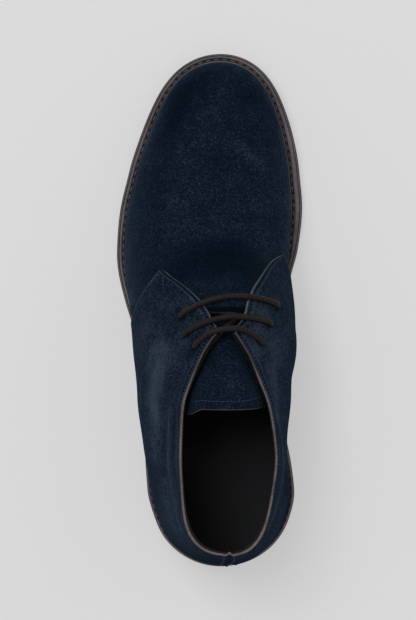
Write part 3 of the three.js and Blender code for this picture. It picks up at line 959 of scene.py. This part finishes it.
def quarter_grid(side):
    """The shares and rows of a quarter's face, closer together at its edges and toward its tip."""
    bounds, tip, corner = quarter_bounds(side)
    narrow = mix(corner, tip, NARROW_SHARE)
    parts = even(90, 0, corner), even(60, corner, narrow)[1:], slowing(40, narrow, tip)[1:]
    shares = np.concatenate(parts)
    low, high = bounds(shares)
    across_panel = (1 - np.cos(np.pi * even(96))) / 2
    return shares, mix(low[:, None], high[:, None], across_panel[None])


def add_cut_edge(sheets, side, shares, rows, face, which, paint):
    """The raw edge of the suede, from its face down to the vamp: "which" is the edge's column."""
    top = face[:, which]
    inside = face[:, 1 if which == 0 else -2]
    away = unit(top - inside)
    normal = skin_normal(side, shares, rows[:, which])
    depth = overlay(shares)[:, None] - 0.02
    corner = top + away * CORNER_OUT - normal * CORNER_DOWN
    bottom = top + away * CUT_SLOPE - normal * depth
    sheets.add(np.stack([top, corner, bottom], 1), f"edge{which}", paint, (side < 0) != (which == 0))


def add_rim(sheets, side, shares, outer):
    """The collar's rim, from the quarter's edge over to the lining."""
    inner = wall_point(side, shares, 1.0, WALL)
    inward = unit(inner - outer)
    up = np.array([0, 0, 1.0])
    band = mix(*RIM_BAND, smooth(*RIM_NARROWS, station_of(shares)))[:, None]
    fold = outer + inward * RIM_TURN + up * RIM_TURN
    crest = fold + inward * band / 2 + up * RIM_CREST
    seam = fold + inward * band - up * RIM_SEAM
    strips = [outer, fold], [fold, crest, seam], [seam, inner, inner - up * LINING_DROP]
    for paint, strip in enumerate(strips):
        sheets.add(np.stack(strip, 1), "rim", paint, side < 0)


def quarter(side, name):
    _, _, corner = quarter_bounds(side)
    shares, rows = quarter_grid(side)
    spread = np.broadcast_to(shares[:, None], rows.shape)
    face = skin(side, spread, rows, overlay(spread))
    in_front = smooth(corner, corner + 0.01, spread)
    from_upper_edge = np.linalg.norm(face - face[:, -1:], axis=-1)
    from_lower_edge = np.linalg.norm(face - face[:, :1], axis=-1)
    furrow = hump(from_upper_edge - EDGE_TO_STITCH, FURROW["width"])
    roll = ROLL["height"] * hump(from_upper_edge - ROLL["off"], ROLL["width"]) - FURROW["depth"] * furrow
    on_roll = hump(from_upper_edge - ROLL_HIGHLIGHT["off"], ROLL_HIGHLIGHT["width"])
    # painted highlight on the cut edge, on the roll and along the lower edge; painted shade in the furrow
    painted_highlight = EDGE_HIGHLIGHT["shade"] * hump(from_upper_edge, EDGE_HIGHLIGHT["width"])
    painted_highlight += ROLL_HIGHLIGHT["shade"] * on_roll * mix(ROLL_HIGHLIGHT["share_behind"], 1, in_front)
    painted_highlight += FOOT_HIGHLIGHT["shade"] * hump(from_lower_edge, FOOT_HIGHLIGHT["width"]) * (rows[:, :1] > 0)
    shade = nap_and_painted_light(face) + PANEL_SHADE + painted_highlight - FURROW["shade"] * furrow

    sheets = Sheets()
    rolled = face + skin_normal(side, spread, rows) * roll[..., None]
    sheets.add(rolled, "face", 0, side < 0, shade)
    add_foot(sheets, side, face)
    # The facing's edge shows its tan core; the lower edge is worn to the colour of the nap.
    facing = np.flatnonzero(shares >= corner - 1e-9)
    raised = np.arange(np.flatnonzero(rows[:, 0] > 0.001)[0] - 1, len(shares))
    for chosen, which, paint in ((facing, -1, 1), (raised, 0, 0)):
        add_cut_edge(sheets, side, shares[chosen], rows[chosen], face[chosen], which, paint)
    at_collar = shares[shares <= corner + 1e-9]
    add_rim(sheets, side, at_collar, face[: len(at_collar), -1])
    made = sheets.make(name, [SUEDE, RAW_EDGE, LINING])
    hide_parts("upper")


def throat_roll(side):
    """Between the facings the vamp rolls down onto the tongue."""
    depth = 6
    rise = np.array([0, 0, 0.5])
    above_tongue = np.array([0, 0, 0.2])
    rear = skin(side, np.full(24, FRONT), even(24, 0.6, 1))
    at = np.full(24, VAMP_EDGE - depth)
    middle = along(RIDGE, "across", at)
    turn = np.clip((rear[:, 0] - AXIS_X - middle) / along(TONGUE, "half", at), -0.95, 0.95)
    foot = tongue_face(at, turn) + above_tongue
    crest = rear + 0.4 * (foot - rear) * (1, 1, 0) + rise
    part = even(9)[None, :, None]
    weights = (1 - part) ** 2, 2 * part * (1 - part), part**2
    return sum(weight * line[:, None] for weight, line in zip(weights, (rear, crest, foot)))


def vamp():
    sheets = Sheets()
    # painted sheen: the face is lighter along its foot by the welt and where it stands nearly upright
    foot_sheen = {"width": 2.5, "shade": 2.2}
    upright_sheen = {"width": 0.3, "shade": 0.8}  # where the face stands nearly upright
    wing_start = float(share_of(WING_START))
    front = np.concatenate([even(90, FRONT, TOE_SHARE), slowing(40, TOE_SHARE, 1)[1:]])
    wing = even(24, wing_start, FRONT)
    wing_top = mix(0.5, 0.82, smooth(wing_start, FRONT, wing))
    for side in (1, -1):
        shares, rows = grid(front, even(70)[None])
        face = skin(side, shares, rows)
        from_foot = np.linalg.norm(face - face[:, :1], axis=-1)
        upward = skin_normal(side, shares, rows)[..., 2]
        # painted sheen along the foot and on the upright face
        wear_and_sheen = foot_sheen["shade"] * hump(from_foot, foot_sheen["width"])
        wear_and_sheen += upright_sheen["shade"] * hump(upward, upright_sheen["width"])
        sheets.add(face, "face", 0, side < 0, nap_and_painted_light(face) + wear_and_sheen)
        add_foot(sheets, side, face)
        # the wing that runs back under the quarter
        face = skin(side, *grid(wing, even(70)[None] * wing_top[:, None]))
        sheets.add(face, "wing", 0, side < 0, nap_and_painted_light(face))
        add_foot(sheets, side, face)
        roll = throat_roll(side)
        # painted shade where the vamp rolls down onto the tongue
        sheets.add(roll, "face", 0, side > 0, np.full(roll.shape[:2], -0.6))
    made = sheets.make("vamp", [SUEDE])
    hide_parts("upper")


def lining():
    sheets = Sheets()
    for side in (1, -1):
        bounds, _, corner = quarter_bounds(side)
        facing = even(24, corner, FRONT)
        stretches = (
            (even(80, 0, corner), np.ones(80)),
            (facing, np.minimum(bounds(facing)[1], 1.0)),
            (even(70, FRONT, 1), np.ones(70)),
        )
        for shares, top in stretches:
            inside = wall_point(side, *grid(shares, even(40)[None] * top[:, None]), WALL)
            sheets.add(inside, "inside", 0, side > 0)
    made = sheets.make("lining", [LINING])
    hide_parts("upper")


# ---- Stitches ----
STITCH_RINGS = 7
STITCH_SIDES = 8
STITCH_SINK = 0.05  # how deep a stitch's middle lies in the surface, and how much deeper its ends
STITCH_DIP = 0.12
STITCH_BED = 0.25  # how far the stitches along a quarter's edge lie below its face, in their furrow
BESIDE_SEAM = 0.009  # the share at which a row runs down beside the back seam
BAR_TACK = [(168 - 1.9 * k, 31.4 - 0.2 * k) for k in range(4)]  # short stitches down from the outer tip


def travel(points):
    """How far along a line each of its points lies."""
    return np.concatenate([[0], np.cumsum(np.linalg.norm(np.diff(points, axis=0), axis=1))])


def read_along(stops, run, values):
    """Three columns of values at stops along a line."""
    return np.stack([np.interp(stops, run, values[:, k]) for k in range(3)], 1)


def stitch_row(sheets, points, normals, pitch=2.2, length=1.6, width=0.55, height=0.3):
    """A row of small capsules, each a stitch of thread that lies on the surface and dips in at its ends."""
    run = travel(points)
    count = max(int(run[-1] / pitch), 2)
    stops = (np.arange(count) + 0.5) * run[-1] / count
    centres = read_along(stops, run, points)
    near = 0.3
    lengthways = unit(read_along(stops + near, run, points) - read_along(stops - near, run, points))
    out = read_along(stops, run, normals)
    out = unit(out - lengthways * np.sum(out * lengthways, 1, keepdims=True))
    aside = np.cross(out, lengthways)
    part = even(STITCH_RINGS, -1, 1)[:, None, None]
    swell = np.sqrt(np.maximum(1 - np.abs(part) ** 3, 0.02))
    sunk = STITCH_SINK + STITCH_DIP * part**2
    angle = even(STITCH_SIDES + 1, 0, 2 * np.pi)[None, :, None]
    for centre, ahead, up, across in zip(centres, lengthways, out, aside):
        section = np.cos(angle) * across * width / 2 + np.sin(angle) * up * height
        stitch = centre + part * length / 2 * ahead - sunk * up + swell * section
        sheets.add(stitch, "thread", 0, True)


def inside_edge(side, shares, rows, toward_rows, distance, lift):
    """A line beside an edge of a panel, "distance" in from it along the surface."""
    here = skin(side, shares, rows, lift)
    there = skin(side, shares, toward_rows, lift)
    run = unit(np.gradient(here, axis=0))
    normal = skin_normal(side, shares, rows)
    inward = np.cross(normal, run)
    inward *= np.sign(np.sum(inward * (there - here), 1, keepdims=True))
    return here + inward * distance, normal


def upper_stitches():
    threads = Sheets()
    short = 0.004  # a row ends this share before a panel's corner
    for side in (1, -1):
        bounds, tip, corner = quarter_bounds(side)
        facing = even(120, corner + short, tip - short)
        low, high = bounds(facing)
        collar = even(160, 0.02, corner - short)
        edges = (
            (facing, high, (low + high) / 2),
            (collar, np.ones(160), np.full(160, 0.9)),
        )
        for shares, edge, toward in edges:
            lift = overlay(shares) - STITCH_BED
            stitch_row(threads, *inside_edge(side, shares, edge, toward, EDGE_TO_STITCH, lift))
        # a row on each side of the back seam
        rows = even(30, 0.99, 0.06)
        share = np.full(30, BESIDE_SEAM)
        stitch_row(threads, skin(side, share, rows, 0.08), skin_normal(side, share, rows))
    for at, across in BAR_TACK:
        share, row = (np.full(2, value) for value in find_on_wall(1, at, across))
        points = skin(1, share, row, OVERLAY + 0.1) + np.array([(0, 0, 0), (-1.7, 1, 1)])
        stitch_row(threads, points, skin_normal(1, share, row), 1.0, 2.0, 0.7)
    made = threads.make("upper_stitches", [BLUE_THREAD])


def lining_stitches():
    """The seam that holds the lining shows inside the heel."""
    threads = Sheets()
    for side in (1, -1):
        shares = even(60, 0.02, 0.16)
        line = wall_point(side, shares, 0.95, WALL + 0.1)
        stitch_row(threads, line, -wall_normal(side, shares, 0.95, WALL), 3.2, 1.5, 0.4)
    made = threads.make("lining_stitches", [WELT_THREAD])


# ---- The tongue ----
TONGUE_BACK = TONGUE["at"][0]
TONGUE_FRONT = TONGUE["at"][-1]
TONGUE_CORNERS = 2  # how far forward the top edge's two corners lie
TONGUE_SLANT = 4.5  # and how much further back its outer corner reaches
TONGUE_END = 0.35  # how far its cut top edge bulges
STITCH_LINE = 4.5  # from the top edge to its row of stitches


def tongue_face(at, turn):
    """A place on the tongue's face: "turn" is -1 and 1 at its side edges."""
    half = along(TONGUE, "half", at)
    z = along(TONGUE, "height", at) - along(TONGUE, "droop", at) * turn * turn
    near_top = 1 - smooth(TONGUE_BACK, TONGUE_BACK + 20, at)
    lean = (TONGUE_CORNERS * turn**4 - TONGUE_SLANT * smooth(0.5, 0.95, turn)) * near_top
    across = along(RIDGE, "across", np.maximum(at, COLLAR_FRONT)) + half * turn * (1 - 0.1 * turn**4)
    return place(at + lean, across, z)


def rippled(at, turn):
    """The tongue's face with the slow waves of soft leather."""
    face = tongue_face(at, turn)
    face[..., 2] += 0.35 * np.sin(at * 0.21 + turn * 2) * smooth(150, 110, at)
    return face


def tongue():
    at, turn = np.meshgrid(even(90, TONGUE_BACK, TONGUE_FRONT), even(48, -1, 1), indexing="ij")
    face = rippled(at, turn)
    under = face - np.array([0, 0, TONGUE_WALL * 0.8])
    bulge = np.array([0, TONGUE_END, 0])
    bevel = np.array([0, 0, 0.4])
    end = [face[0], face[0] + bulge - bevel, under[0] + bulge + bevel, under[0]]
    sheets = Sheets()
    # painted shade: the face darkens toward its front, where it runs under the vamp and the laces
    sheets.add(face, "face", 0, False, 0.05 - 0.4 * smooth(128, 150, at))
    sheets.add(under, "under", 2, True)
    sheets.add(np.stack(end, 1), "end", 1, False)
    sheets.add(np.stack([face[:, 0], under[:, 0]], 1), "inner side", 1, False)
    sheets.add(np.stack([face[:, -1], under[:, -1]], 1), "outer side", 1, True)
    sheets.add(np.stack([face[-1], under[-1]], 1), "front", 1, True)
    made = sheets.make("tongue_suede", [SUEDE, RAW_EDGE, LINING])
    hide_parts("tongue")


def tongue_stitches():
    turn = even(60, -0.85, 0.85)
    line = rippled(TONGUE_BACK + STITCH_LINE + 3 * np.abs(turn) ** 3, turn)
    line[:, 2] += 0.08
    normals = np.stack([turn * 0.8, np.full(60, -0.5), np.ones(60)], 1)
    threads = Sheets()
    stitch_row(threads, line, normals)
    made = threads.make("tongue_stitches", [BLUE_THREAD])


# ---- The lace ----
def face_at(at, across):
    """The upper's face over a place in plan: the point, the way out of it and how thick the wall is."""
    side = 1 if across > along(RIDGE, "across", np.array(at)) else -1
    share, row = find_on_wall(side, at, across)
    outer = wall_point(side, share, row)
    normal = wall_normal(side, share, row)
    depth = float((outer - wall_point(side, share, row, WALL)) @ normal)
    return outer, normal, depth


def lace_route():
    """The middle bar, then a crossing below, the low bar, a crossing and the top bar."""
    reach = LACE / 2 + LACE_CLEARANCE

    def above(at, across, lift=0.0):
        outer, normal, _ = face_at(at, across)
        return outer + normal * (reach + lift)

    def below(at, across, lift=0.0):
        outer, normal, depth = face_at(at, across)
        return outer - normal * (depth + reach)

    def in_hole(at, across):
        outer, normal, depth = face_at(at, across)
        return outer - normal * depth / 2

    def between(start, end, shares, bow):
        for share in shares:
            at = mix(start[0], end[0], share) + bow * math.sin(math.pi * share) ** 0.7
            yield at, mix(start[1], end[1], share), BAR_LIFT * math.sin(math.pi * share)

    def run(start, end, shares, bow, over):
        middle = [over(*spot) for spot in between(start, end, shares, bow)]
        return [in_hole(*start), over(*start), *middle, over(*end)]

    def bar(start, end, bow):
        return run(start, end, (0.13, 0.3, 0.5, 0.7, 0.87), bow, above)

    def crossing(start, end, bow):
        return run(start, end, (0.16, 0.38, 0.62, 0.84), bow, below)

    hole = EYELETS
    route = [below(*LACE_ENDS["lateral"]), below(*hole["lateral_middle"])]
    route += bar(hole["lateral_middle"], hole["medial_middle"], BAR_BOW["middle"])
    route += crossing(hole["medial_middle"], hole["lateral_low"], CROSSING_BOW["low"])
    route += bar(hole["lateral_low"], hole["medial_low"], BAR_BOW["low"])
    route += crossing(hole["medial_low"], hole["lateral_top"], CROSSING_BOW["top"])
    route += bar(hole["lateral_top"], hole["medial_top"], BAR_BOW["top"])
    route += [in_hole(*hole["medial_top"]), below(*hole["medial_top"]), below(*LACE_ENDS["medial"])]
    return np.array(route)


def smooth_route(points, per_span=12):
    """A centripetal Catmull-Rom curve through the points."""

    def blend(a, b, start, end, u):
        return (end - u) / (end - start) * a + (u - start) / (end - start) * b

    extended = np.concatenate([[2 * points[0] - points[1]], points, [2 * points[-1] - points[-2]]])
    gaps = np.sqrt(np.linalg.norm(np.diff(extended, axis=0), axis=1))
    t = np.concatenate([[0], np.cumsum(gaps)])
    out = []
    for k in range(1, len(points)):
        p = extended[k - 1 : k + 3]
        knots = t[k - 1 : k + 3]
        for u in np.linspace(knots[1], knots[2], per_span, endpoint=False):
            first = [blend(p[i], p[i + 1], knots[i], knots[i + 1], u) for i in range(3)]
            second = [blend(first[i], first[i + 1], knots[i], knots[i + 2], u) for i in range(2)]
            out.append(blend(*second, knots[1], knots[2], u))
    return np.array([*out, points[-1]])


def tube(path, radius, sides=14):
    """A tube's points and its route map: distance along it, and share of a turn round it."""
    run = unit(np.gradient(path, axis=0))
    aside = np.cross(run[0], (0, 0, 1.0))
    asides = []
    for direction in run:
        aside = unit(aside - direction * (aside @ direction))
        asides.append(aside)
    across = np.array(asides)
    up = np.cross(run, across)
    angle = even(sides + 1, 0, 2 * np.pi)[None, :, None]
    ring = across[:, None] * np.cos(angle) + up[:, None] * np.sin(angle)
    route = np.stack(np.broadcast_arrays(travel(path)[:, None], even(sides + 1)[None]), -1)
    return path[:, None] + ring * radius, route


def lace():
    path = smooth_route(lace_route())
    points, route = tube(path, LACE / 2)
    sheets = Sheets()
    sheets.add(points, "cord", 0, True, None, route)
    for end, flip in ((0, True), (-1, False)):
        centre = np.broadcast_to(path[end], points[end].shape)
        sheets.add(np.stack([points[end], centre], 0), f"end{end}", 0, flip)
    made = sheets.make("lace_cord", [LACE_CORD], weld=False)
    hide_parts("lace")


# ---- Welt, sole and footbed ----
WELT_FOOT = OUTSOLE + GAP  # the welt's underside, above the outsole's
WELT_STITCH = {"pitch": 4.8, "length": 3.6, "width": 1.25, "height": 0.55}


def above_sole(extra):
    """A height above the outsole's underside, as a function of the station."""
    return lambda at: underside(at) + extra


def level(side, shares, inset, height):
    """A line round the sole. The inset and the height are each a number or a function of the place."""
    if callable(inset):
        inset = inset(side, shares)
    at, across = outline(side, shares, inset)
    return place(at, across, height(at) if callable(height) else height)


def add_band(sheets, group, paint, levels, count=260):
    """A band round the sole's outline through (inset, height above the underside) pairs."""
    for side in (1, -1):
        lines = [level(side, even(count), inset, above_sole(height)) for inset, height in levels]
        sheets.add(np.stack(lines, 1), group, paint, side > 0)


def welt():
    """A strip with a bead along its rim and, beside the upper, the groove that the stitches lie in."""

    def from_upper(out):
        return lambda side, shares: welt_inset(side, shares) - out

    def on_top(part):
        """Insets from the bead to the groove."""
        return lambda side, shares: mix(1.6, welt_inset(side, shares) - 2.2, part)

    foot = WELT_FOOT
    rim = [(1.1, foot), (0.75, foot + 0.6), (0.7, foot + 2.5), (0.85, foot + 3.1), (1.1, foot + 3.4)]
    bead = [(1.1, foot + 3.4), (1.35, foot + 3), (1.6, foot + 3.4)]
    top = [
        (1.6, foot + 3.4),
        (on_top(0.4), foot + 3.75),
        (on_top(0.8), foot + 3.7),
        (on_top(1), foot + 3.35),
    ]
    groove = [
        (on_top(1), foot + 3.35),
        (from_upper(1.9), foot + 2.75),
        (from_upper(1), foot + 2.7),
        (from_upper(0.6), foot + 3.3),
    ]
    inner = [(from_upper(0.6), foot + 3.3), (from_upper(0.2), foot + 3.5), (from_upper(-1.5), foot + WELT)]
    hidden = [
        (1.1, foot),
        (from_upper(-2.4), foot),
        (from_upper(-2.4), foot + WELT),
        (from_upper(-1.5), foot + WELT),
    ]
    sheets = Sheets()
    add_band(sheets, "band", 0, rim)
    # the bead's dip and the groove take the near-black leather: painted shade in these hollows, and the dark
    # of the stitch holes in the groove
    add_band(sheets, "band", 1, bead)
    add_band(sheets, "band", 0, top)
    add_band(sheets, "groove", 1, groove)
    add_band(sheets, "inner", 0, inner)
    add_band(sheets, "hidden", 1, hidden, 120)
    made = sheets.make("welt_leather", [WELT_BAND, WELT_GROOVE])
    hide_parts("welt")
    threads = Sheets()
    for side in (1, -1):
        line = level(side, even(700), from_upper(1.45), above_sole(foot + 2.95))
        up = np.broadcast_to([0, 0, 1.0], line.shape)
        stitch_row(threads, line, up, **WELT_STITCH)
    made = threads.make("welt_stitches", [WELT_THREAD])


def slab(name, last_share, levels, paint, node, count=200):
    """A solid that follows the sole's outline, from its lowest level to its highest."""
    sheets = Sheets()
    ends = []
    for side in (1, -1):
        shares = even(count, 0, last_share)
        lines = [level(side, shares, inset, height) for inset, height in levels]
        wall = np.stack(lines, 1)
        sheets.add(wall, "wall", 0, side > 0)
        ends.append(wall[-1])
        for rim, flip, group in ((lines[0], side < 0, "under"), (lines[-1], side > 0, "over")):
            axis = rim.copy()
            axis[:, 0] = AXIS_X
            part = even(14)[None, :, None]
            sheets.add(mix(rim[:, None], axis[:, None], part), group, 0, flip)
    if last_share < 1:
        sheets.add(np.stack(ends, 0), "breast", 0, False)
    made = sheets.make(name, [paint])
    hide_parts(node)


def sole():
    outsole = [
        (1.2, above_sole(0)),
        (0.45, above_sole(0.35)),
        (0.15, above_sole(1)),
        (0, above_sole(2.2)),
        (0, above_sole(OUTSOLE - 2)),
        (0.25, above_sole(OUTSOLE - 0.8)),
        (0.9, above_sole(OUTSOLE)),
    ]
    slab("outsole_rubber", 1.0, outsole, SOLE, "outsole")
    breast = float(share_of(HEEL_BREAST))
    foot = TOP_PIECE + GAP
    block = [(2, foot), (1.8, foot + 0.3), (1.2, above_sole(-GAP))]
    slab("heel_stack", breast, block, STACK, "heel_block", 90)
    piece = [(2.8, 0), (2.3, 0.3), (2.05, 0.9), (2, TOP_PIECE - 0.3), (2.2, TOP_PIECE)]
    slab("heel_rubber", breast, piece, SOLE, "heel_top_piece", 90)


def footbed():
    """The sock lies on the insole, dished: higher at its edge than along its middle."""
    rise = 1.6
    sink = 0.4
    sheets = Sheets()
    part = even(24)[None]
    for side in (1, -1):
        shares = even(160)
        at, across = outline(side, shares, welt_inset(side, shares) + WALL + 2 * GAP)
        height = welt_top(at)[:, None] + INSOLE_RISE + rise * (1 - part) ** 3 - sink
        bed = place(at[:, None], mix(across[:, None], 0, part), height)
        sheets.add(bed, "bed", 0, side > 0)
    made = sheets.make("sock_lining", [SOCK])
    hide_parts("insole")


vamp()
quarter(1, "quarter_lateral")
quarter(-1, "quarter_medial")
lining()
upper_stitches()
lining_stitches()
tongue()
tongue_stitches()
lace()
welt()
sole()
footbed()
